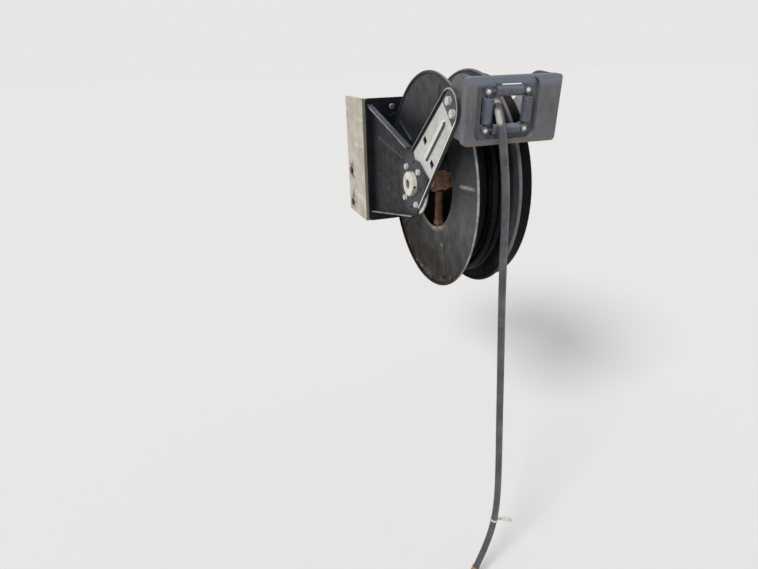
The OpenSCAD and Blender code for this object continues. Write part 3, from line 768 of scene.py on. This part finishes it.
ZINC_SHEET = galvanised_sheet()
ZINC_OLD = weathered_zinc()
DISC = disc_steel()
DISC_DARK = shaded_steel()
WING = wing_paint()
DARK = painted("dark_paint", (70, 70, 74), (92, 92, 93), 0.3, dusty=(0.05, 0.35), strip=0.9)
BLACK = painted("black_paint", (15, 16, 23), (34, 36, 42), 0.2, (0.35, 0.5), (0.1, 0.5))
CASE = case_paint()
CREAM = cream_plastic()
SWIVEL = rusty_steel("rusty_casting", (150, 117, 98), (190, 142, 112))
PIPE = rusty_steel("rusty_pipe", (112, 82, 62), (148, 103, 74))
BOLT = zinc_plate()
MOULDED = box_plastic()
NYLON = roller_nylon()
HOSE = hose_rubber("hose_rubber", (94, 93, 97), (60, 61, 66), 0.35, side_shading=0.55)
# Painted shade: the wound turns are the same rubber as the hanging hose, shown near black.
WOUND = hose_rubber("wound_rubber", (6, 6, 8), (11, 10, 12), 0.05, 0.12)
TAN = hose_rubber("tan_plastic", (196, 176, 160), (172, 150, 132), 0.25)
TIE = hose_rubber("tie_plastic", (206, 204, 194), (186, 182, 170), 0.3)
BRASS = brass()


# Free hose: a cord on the same smooth curve as its solid

def smooth_line(points, steps):
    """Uniform cubic B-spline through reflected ends: each span blends four neighbours."""
    ends = np.concatenate([[2 * points[0] - points[1]], points, [2 * points[-1] - points[-2]]])
    t = (np.arange(steps) / steps)[None, :, None]
    a, b, c, d = (ends[k:len(ends) - 3 + k, None] for k in range(4))
    line = (a * (1 - t) ** 3 + b * (3 * t**3 - 6 * t**2 + 4)
            + c * (-3 * t**3 + 3 * t**2 + 3 * t + 1) + d * t**3) / 6
    return np.concatenate([line.reshape(-1, 3), points[-1:]])


hose_line = smooth_line(HOSE_ROUTE, ROUTE_STEPS)
free_hose = piece("hanging_hose", [along(hose_line, HOSE_R, 28)], HOSE, "frame")
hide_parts("free_hose")


def crimped_end():
    """Ferrule, hexagon and threaded spigot, in line with the hose's end.

    The ferrule's radius dips at each pressed ring as a bell curve does, and the thread's follows
    a sine wave.
    """
    at = hose_line[-1]
    axis = hose_line[-1] - hose_line[-3]
    s = np.linspace(-1, FERRULE_L, 90)
    dips = CRIMP_DEEP * np.exp(-(((s[:, None] - CRIMPS) / CRIMP_WIDE) ** 2)).sum(1)
    sleeve = turned(at, axis, HOSE_R + 1.45 - dips, s, 40)
    nut_end = FERRULE_L + NUT_L
    nut = turned(at, axis, [9.6, 11, 11, 9.9], [FERRULE_L, FERRULE_L + 1, nut_end - 1, nut_end],
                 48, hexagon(NUT_FLATS))
    u = np.linspace(0, THREAD_L, 60)
    thread = THREAD_R + THREAD_RISE * np.sin(u * 2 * np.pi / THREAD_STEP)
    mouth = turned(at, axis, np.concatenate([[THREAD_R - 0.2], thread, [5.8, BORE_R, BORE_R]]),
                   nut_end + np.concatenate([[-0.2], u, [THREAD_L, THREAD_L, 5]]), 40)
    return [sleeve, nut, mouth]


fitting = piece("hose_end", crimped_end(), BRASS, "frame")
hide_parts("hose_fitting")


def band_on_hose(height, wide, proud, ridges):
    """Sleeve round the hose at a height, and its place.

    It stands proud of the hose, with ridges that follow a cosine along its length and with edges
    that rise as a square root.
    """
    falling = hose_line[np.argmax(hose_line[:, 2]):]
    k = len(hose_line) - len(falling) + int(np.argmin(abs(falling[:, 2] - height)))
    at, axis = hose_line[k], hose_line[k + 1] - hose_line[k - 1]
    s = np.linspace(0, wide, 40)
    edge = np.clip(np.minimum(s, wide - s) / 0.8, 0, 1) ** 0.5
    radius = HOSE_R + 0.05 + proud * edge * (1 + 0.12 * np.cos(2 * np.pi * ridges * s / wide))
    return turned(at, axis, radius, s - wide / 2, 40), at


def tail_shape(row, angle):
    """Flat oval that narrows to its tip by the fourth power of the way along."""
    oval = np.sqrt((TAIL_HALF_WIDE / TAIL_HALF_THICK * np.cos(angle)) ** 2 + np.sin(angle) ** 2)
    return (1 - 0.35 * (row / (TAIL_POINTS - 1)) ** 4) / oval


def cable_tie():
    """Strap round the hose, its six-sided lock, and the tail that leaves the lock in a falling arc.

    The tail's middle line is a parabola: even steps to the side and forward, and a height that
    rises at first and falls with the square of the way.
    """
    strap, at = band_on_hose(TIE_Z, TIE_L, TIE_PROUD, 1)
    lock_at = at + np.array([HOSE_R + LOCK_OUT, -LOCK_AHEAD, 0.0])
    lock = turned(lock_at, UP, [3.4, 4.2, 4.2, 3.4], [-3.0, -2.4, 2.4, 3.0],
                  24, hexagon(LOCK_FLATS))
    t = np.linspace(0, 1, TAIL_POINTS)[:, None]
    path = lock_at + np.concatenate([2 + 30 * t, -2 - 8 * t, 5 * t - 13 * t * t], 1)
    return [strap, lock, along(path, TAIL_HALF_WIDE, 12, tail_shape)]


band, _ = band_on_hose(BAND_Z, BAND_L, BAND_PROUD, 3)
hose_band = piece("hose_band", [band], TAN, "frame")
hose_tie = piece("hose_tie", cable_tie(), TIE, "frame", smooth=35)


# Drum: discs and wound hose

def smoothstep(value, low, high):
    """0 up to low, 1 from high on, and between them three squares less two cubes of the way."""
    t = np.clip((value - low) / (high - low), 0, 1)
    return t * t * (3 - 2 * t)


def disc_outer(r, angle, ribs):
    """Distance of a disc's outer face from the drum's middle: dish, pressed ribs and dents.

    The dish rises evenly with the radius. A rib is a ridge along a radius that falls away
    smoothly with the distance from its line, and a dent is a bell curve.
    """
    x = RIM_X - DISH + DISH * np.clip((r - FLAT_R) / (DISC_R - BEAD_R - FLAT_R), 0, 1) + 0 * angle
    if ribs:
        step = 2 * np.pi / RIB_COUNT
        off = (angle - RIB_TURN + step / 2) % step - step / 2
        aside = r * np.sin(off)
        past_end = (np.clip(RIB_FROM + RIB_HALF - r, 0, None)
                    + np.clip(r - RIB_TO + RIB_HALF, 0, None))
        gone = np.sqrt(aside**2 + past_end**2) / RIB_HALF
        x = x + RIB_RISE * (1 - smoothstep(gone, RIB_CREST, 1.0))
        for dent_angle, dent_r, wide, deep in DENTS:
            gap = np.hypot(r - dent_r, dent_r * np.sin((angle - dent_angle) / 2) * 2)
            x = x - deep * np.exp(-((gap / wide) ** 2))
    return x


def disc(side, inner_r, ribs):
    """Closed sheet: outer face out to the rolled bead, round the bead, and the inner face back.

    The profile runs over rows and goes round the axle over columns.
    """
    angle = circle(DISC_ROUND)[None, :]
    r_out = np.linspace(inner_r, SHEET_END, DISC_OUT)[:, None]
    r_in = np.linspace(SHEET_END, inner_r, DISC_IN)[:, None]
    turn = np.radians(np.linspace(BEAD_TURN, -BEAD_TURN, BEAD_ROUND))[:, None]
    bead_r = DISC_R - BEAD_R + BEAD_R * np.cos(turn)
    bead_x = (RIM_X + BEAD_R * np.sin(turn)) * np.ones_like(angle)
    radius = np.concatenate([r_out, bead_r, r_in])
    x = np.concatenate([disc_outer(r_out, angle, ribs), bead_x,
                        disc_outer(r_in, angle, ribs) - SHEET])
    return shell(round_axle(side * x, radius, angle), looped=True)


near = piece("near_disc", [disc(-1, EYE_R, True)], DISC, "drum", smooth=55)
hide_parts("disc_near")
far = piece("far_disc", [disc(1, SLEEVE_R, False)], DISC_DARK, "drum", smooth=55)
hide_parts("disc_far")


def wound_turns():
    """Outer layers of hose, one closed ring a turn, over a ring that fills the drum below them.

    A turn's middle line is a circle that waves by up to 0.6 mm sideways, as the sum of two sines,
    and by 0.2 mm in and out as a third.
    """
    angle, ring = circle(TURN_ROUND), circle(TURN_ACROSS)[None, :, None]
    shells = []
    for layer in range(LAYERS - SHOWN_LAYERS + 1, LAYERS + 1):
        for lane in range(LANES):
            if layer == LAYERS and lane == OPEN_LANE:
                continue
            wave = (WAVE_ASIDE[0] * np.sin(3 * angle + 1.7 * lane + layer)
                    + WAVE_ASIDE[1] * np.sin(7 * angle + 2.1 * lane))
            x = (lane - (LANES - 1) / 2) * PITCH + wave
            r = (WOUND_R - (LAYERS - layer) * LAYER_STEP - TURN_SINK
                 + WAVE_OUT * np.sin(5 * angle + lane + 2 * layer))
            path, out = round_axle(x, r, angle)[:, None], round_axle(0 * x, 1, angle)[:, None]
            grid = path + HOSE_R * (np.cos(ring) * out + np.sin(ring) * np.array(FAR))
            shells.append(shell(grid, looped=True))
    half = LANES / 2 * PITCH - FILL_DISC_GAP
    low = CORE_R + FILL_CORE_GAP
    high = WOUND_R - (SHOWN_LAYERS - 1) * LAYER_STEP - HOSE_R + FILL_INTO_TURNS
    profile = [(low, -half), (high, -half), (high, half), (low, half)]
    grid = np.stack([round_axle(x + 0 * angle, r, angle) for r, x in profile])
    shells.append(shell(grid, looped=True))
    return shells


wound = piece("wound_turns", wound_turns(), WOUND, "drum", smooth=60)
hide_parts("wound_hose")


# Fasteners

def fasteners():
    """Bolts of the hub plates, arm ends, base plate and mounting slots, and small screws.

    The screws hold the near hub plate and the roller tray, and one locks the boss.
    """
    for name, side in (("near", NEAR), ("far", FAR)):
        heads = []
        for y, z in HUB_BOLTS:
            heads += hex_head((side[0] * WING_OUT, y, z), side, *HUB_HEX)
        for y, z in END_BOLTS:
            heads += hex_head((side[0] * (ARM_OUT + EAR_T), y, z), side, *END_HEX)
        piece(f"{name}_bolts", heads, BOLT, "frame", CRISP)
    plate = [hex_head((x, BASE_FRONT, BASE_BOLTS_Z), FRONT, *BASE_HEX) for x in BASE_BOLTS_X]
    leg_back = (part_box("mounting_angle")[0].y - HUB[1]) / MM + ANGLE_T
    behind = [(x, leg_back, BASE_BOLTS_Z) for x in BASE_BOLTS_X]
    nuts = [part for at in behind for part in hex_head(at, BACK, *BASE_HEX)]
    nuts += [turned(at, BACK, *BASE_END, 24) for at in behind]
    base = [washer for washer, _ in plate] + nuts
    piece("base_washers", base, BOLT, "frame", CRISP)
    piece("base_bolts", [head for _, head in plate], DARK, "frame", CRISP)
    in_slots = [(SLOT_FACE, SLOT_Y, z) for z in SLOT_Z]
    slots = [hex_head(at, NEAR, *SLOT_HEX, SLOT_SQUAT) for at in in_slots]
    shanks = [turned(at, FAR, *SLOT_SHANK) for at in in_slots]
    piece("slot_washers", [washer for washer, _ in slots], BOLT, "frame", CRISP)
    heads = [head for _, head in slots] + shanks
    piece("slot_bolts", heads, BLACK, "frame", CRISP)
    small = []
    for y, z in WING_SCREWS:
        small += pan_head((-WING_OUT, y, z), NEAR, *WING_SCREW)
    small += pan_head(BOSS_SCREW_AT, BOSS_SCREW_AXIS, *BOSS_SCREW)
    piece("small_screws", small, BLACK, "frame", CRISP)
    tray = []
    for x in POST_X:
        for z in (-POST_Z, POST_Z):
            at = on_box([x, POST_FRONT + 0.2, z])
            tray += pan_head(at, on_box(FRONT) - BOX_MID, *TRAY_SCREW)
    piece("tray_screws", tray, BOLT, "frame", CRISP)


fasteners()


# Finishes of the CAD nodes

WELD_GAP = 0.02
SOFT_OVER = math.radians(38)


def dress(names, finish, edge=0.0):
    """Gives nodes a finish, and a small rounded edge where one is asked for."""
    for name in names:
        node = nodes[name]
        node.data.materials.clear()
        node.data.materials.append(finish)
        if edge:
            weld = node.modifiers.new("weld", "WELD")
            weld.merge_threshold = WELD_GAP * MM
            soft = node.modifiers.new("soft_edge", "BEVEL")
            soft.width = edge * MM
            soft.segments = 2
            soft.limit_method = "ANGLE"
            soft.angle_limit = SOFT_OVER
            soft.harden_normals = True
            soft.use_clamp_overlap = True


dress(["arm_near", "arm_far"], ZINC_SHEET, 0.5)
dress(["mounting_angle"], ZINC_OLD, 0.8)
dress(["wing_near", "wing_far"], WING, 0.5)
dress(["ear_plate_near", "ear_plate_far"], DARK, 0.3)
dress(["base_plate"], BLACK, 0.6)
dress(["spring_case"], CASE)
dress(["inlet_boss", "bearing_flange"], CREAM)
dress(["drum_core"], DISC_DARK)
dress(["drum_sleeve", "axle"], BOLT)
dress(["swivel_body", "swivel_collar"], SWIVEL)
dress(["swivel_elbow"], PIPE)
dress(["outlet_box"], MOULDED, 2.2)
dress(["roller_cage"], MOULDED, 0.6)
dress(["roller_top", "roller_bottom", "roller_left", "roller_right"], NYLON)


# Studio, in metres: the sun and the world together light a surface at about its own colour

FLOOR_GAP, FLOOR_HALF = 0.004, 60.0
FLOOR_TONE, WORLD_TONE = (236, 235, 233), (231, 230, 229)
SKY, SKY_LIGHT = (0.98, 0.99, 1.0, 1.0), 0.6
SUN_LIGHT, SUN_WIDE = 1.9, math.radians(16)
SUN_FROM = (-0.62, -0.5, 0.62)


def make_studio():
    """Pale floor under the hose's end, one soft sun from the upper left and an even pale world.

    The sky's tone lights surfaces. The camera, reflections and glass see the world's own tone.
    """
    floor_z = float(min(cad_low.z, 0)) - FLOOR_GAP
    mesh = bpy.data.meshes.new("floor")
    corners = [(x * FLOOR_HALF, y * FLOOR_HALF, floor_z)
               for x, y in ((-1, -1), (1, -1), (1, 1), (-1, 1))]
    mesh.from_pydata(corners, [], [(0, 1, 2, 3)])
    f = Finish("pale_floor", 0.0, 0.0)
    f.colour = tone(*FLOOR_TONE)
    mesh.materials.append(f.done(1.0))
    floor = bpy.data.objects.new("floor", mesh)
    bpy.context.scene.collection.objects.link(floor)
    world = bpy.data.worlds.new("studio")
    bpy.context.scene.world = world
    world.use_nodes = True
    tree = world.node_tree
    sky = tree.nodes["Background"]
    sky.inputs["Color"].default_value = SKY
    sky.inputs["Strength"].default_value = SKY_LIGHT
    bright = tree.nodes.new("ShaderNodeBackground")
    bright.inputs["Color"].default_value = tone(*WORLD_TONE)
    bright.inputs["Strength"].default_value = 1.0
    path = tree.nodes.new("ShaderNodeLightPath")
    seen = path.outputs["Is Camera Ray"]
    for ray in ("Is Transmission Ray", "Is Glossy Ray"):
        either = tree.nodes.new("ShaderNodeMath")
        either.operation = "MAXIMUM"
        tree.links.new(seen, either.inputs[0])
        tree.links.new(path.outputs[ray], either.inputs[1])
        seen = either.outputs["Value"]
    mixed = tree.nodes.new("ShaderNodeMixShader")
    tree.links.new(seen, mixed.inputs["Fac"])
    tree.links.new(sky.outputs["Background"], mixed.inputs[1])
    tree.links.new(bright.outputs["Background"], mixed.inputs[2])
    tree.links.new(mixed.outputs["Shader"], tree.nodes["World Output"].inputs["Surface"])
    sun = bpy.data.lights.new("key", "SUN")
    sun.energy = SUN_LIGHT
    sun.angle = SUN_WIDE
    lit = bpy.data.objects.new("key", sun)
    bpy.context.scene.collection.objects.link(lit)
    lit.rotation_euler = Vector(SUN_FROM).to_track_quat("Z", "Y").to_euler()
    bpy.context.scene.view_settings.view_transform = "Standard"


make_studio()

bpy.context.view_layer.update()
